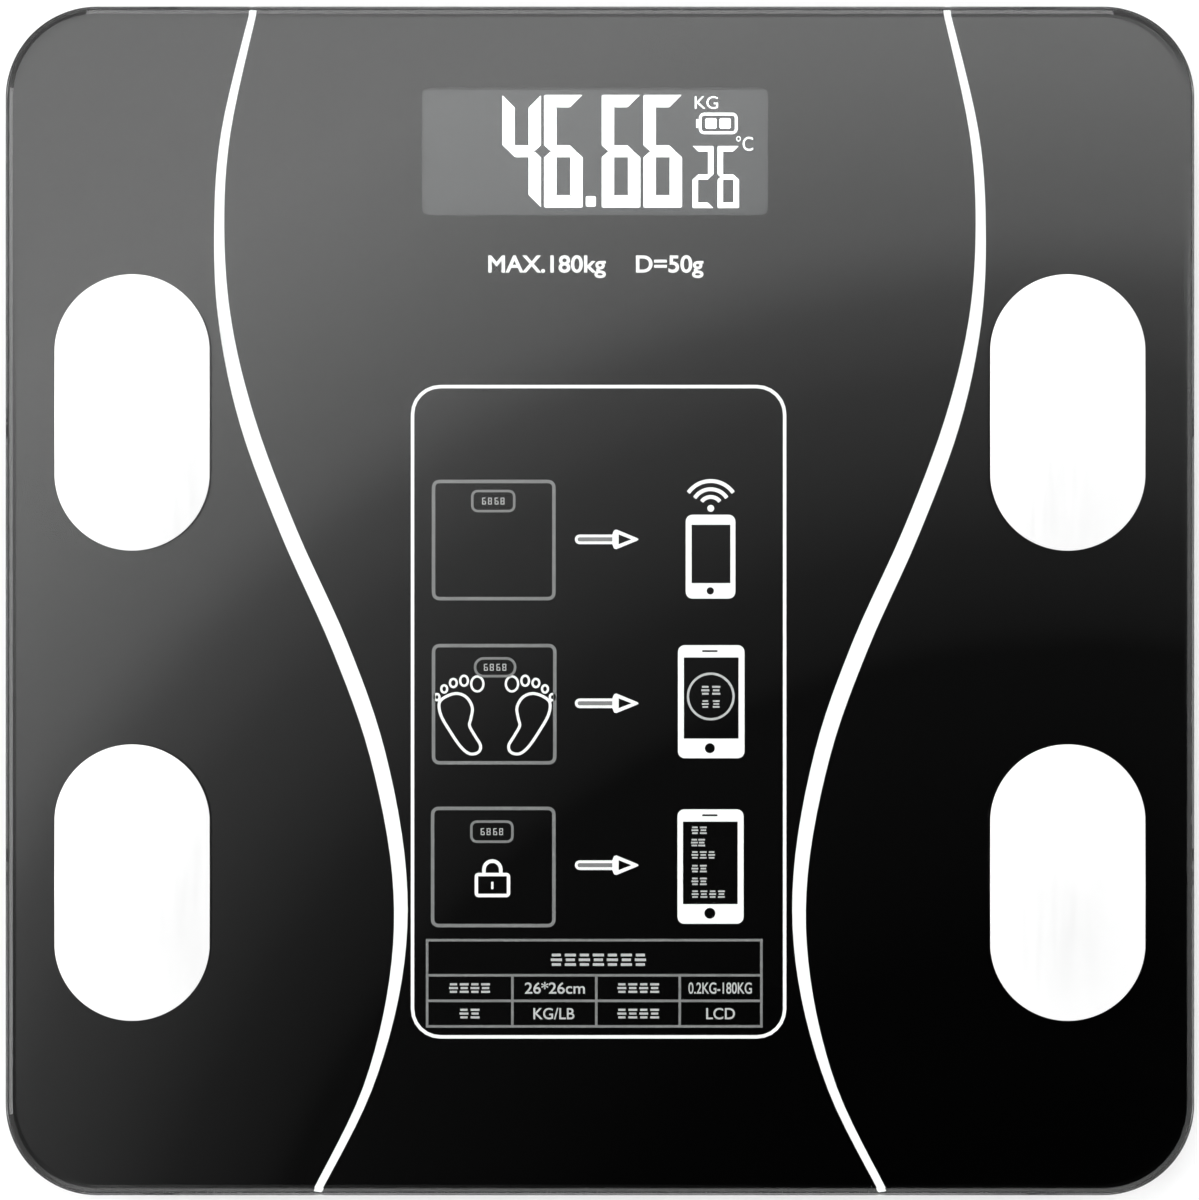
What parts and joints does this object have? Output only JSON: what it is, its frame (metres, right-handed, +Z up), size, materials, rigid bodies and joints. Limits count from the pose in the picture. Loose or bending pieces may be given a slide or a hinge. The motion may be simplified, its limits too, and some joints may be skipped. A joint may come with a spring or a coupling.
{
  "type": "bathroom scale",
  "caption": "Square glass body-composition bathroom scale with a digital display, stainless electrodes, a moulded tray and load-cell feet.",
  "frame": {"origin": "middle of the platform in plan, on the surface the scale stands on", "axes": "+Z up; +Y from the heels towards the toes and the display; +X to the user's right"},
  "size_m": [0.26, 0.26, 0.0243],
  "materials": {
    "tempered_glass": "clear, polished edge",
    "back_print": "opaque black print behind glass",
    "electrode_steel": "fine satin stainless",
    "zinc_hardware": "bright zinc plating",
    "terminal_metal": "tinned brass",
    "lead_insulation": "extruded wire insulation",
    "foam_tape": "closed-cell foam",
    "display_glass": "polarised display cell",
    "light_guide": "diffusing acrylic",
    "white_plastic": "moulded",
    "silicone": "soft silicone",
    "circuit_board": "solder mask",
    "chip_resin": "moulded resin",
    "module_can": "tinned shield can",
    "chip_parts": "ceramic with tinned caps",
    "switch_plastic": "moulded",
    "tray_plastic": "fine moulded texture",
    "button_plastic": "moulded",
    "battery_jacket": "printed jacket with plated ends",
    "contact_metal": "nickel-plated spring steel",
    "cell_steel": "nickel-plated stamped steel",
    "bracket_plastic": "glass-filled moulding",
    "foot_rubber": "moulded rubber"
  },
  "bodies": {
    "scale_body": {"glass_platform": "tempered_glass", "printed_film": "back_print", "electrode_toe_left": "electrode_steel", "electrode_toe_right": "electrode_steel", "electrode_heel_left": "electrode_steel", "electrode_heel_right": "electrode_steel", "electrode_nuts": "zinc_hardware", "electrode_terminals": "terminal_metal", "electrode_leads": "lead_insulation", "foam_gasket": "foam_tape", "adhesive_pads": "foam_tape", "lcd_glass": "display_glass", "lcd_backlight": "light_guide", "lcd_frame": "white_plastic", "contact_strip": "silicone", "main_board": "circuit_board", "controller_chip": "chip_resin", "wireless_module": "module_can", "board_components": "chip_parts", "tact_switch": "switch_plastic", "board_screws": "zinc_hardware", "base_tray": "tray_plastic", "battery_a": "battery_jacket", "battery_b": "battery_jacket", "battery_bridge": "contact_metal", "battery_spring": "contact_metal", "battery_plate": "contact_metal", "battery_leads": "lead_insulation", "load_cell_toe_left": "cell_steel", "load_cell_toe_right": "cell_steel", "load_cell_heel_left": "cell_steel", "load_cell_heel_right": "cell_steel", "gauge_coatings": "silicone", "cell_bracket_toe_left": "bracket_plastic", "cell_bracket_toe_right": "bracket_plastic", "cell_bracket_heel_left": "bracket_plastic", "cell_bracket_heel_right": "bracket_plastic", "bracket_screws": "zinc_hardware", "cell_leads_toe_left": "lead_insulation", "cell_leads_toe_right": "lead_insulation", "cell_leads_heel_left": "lead_insulation", "cell_leads_heel_right": "lead_insulation"},
    "foot_toe_left": {"foot_cup_toe_left": "tray_plastic", "foot_pad_toe_left": "foot_rubber"},
    "foot_toe_right": {"foot_cup_toe_right": "tray_plastic", "foot_pad_toe_right": "foot_rubber"},
    "foot_heel_left": {"foot_cup_heel_left": "tray_plastic", "foot_pad_heel_left": "foot_rubber"},
    "foot_heel_right": {"foot_cup_heel_right": "tray_plastic", "foot_pad_heel_right": "foot_rubber"},
    "battery_door": {"battery_door": "tray_plastic"},
    "unit_button": {"unit_button": "button_plastic", "switch_plunger": "switch_plastic"}
  },
  "joints": [
    {"name": "foot_travel_toe_left", "type": "slide", "parent": "scale_body", "child": "foot_toe_left", "axis": [0, 0, 1], "range_m": [0, 0.0005], "stiffness_N_per_m": 1000000, "deforming": ["load_cell_toe_left"]},
    {"name": "foot_travel_toe_right", "type": "slide", "parent": "scale_body", "child": "foot_toe_right", "axis": [0, 0, 1], "range_m": [0, 0.0005], "stiffness_N_per_m": 1000000, "deforming": ["load_cell_toe_right"]},
    {"name": "foot_travel_heel_left", "type": "slide", "parent": "scale_body", "child": "foot_heel_left", "axis": [0, 0, 1], "range_m": [0, 0.0005], "stiffness_N_per_m": 1000000, "deforming": ["load_cell_heel_left"]},
    {"name": "foot_travel_heel_right", "type": "slide", "parent": "scale_body", "child": "foot_heel_right", "axis": [0, 0, 1], "range_m": [0, 0.0005], "stiffness_N_per_m": 1000000, "deforming": ["load_cell_heel_right"]},
    {"name": "battery_door_hinge", "type": "hinge", "parent": "scale_body", "child": "battery_door", "pos_m": [0, 0.0284, 0.004], "axis": [-1, 0, 0], "range_deg": [0, 60]},
    {"name": "unit_button_press", "type": "slide", "parent": "scale_body", "child": "unit_button", "axis": [0, 0, 1], "range_m": [0, 0.0004], "stiffness_N_per_m": 1200}
  ]
}
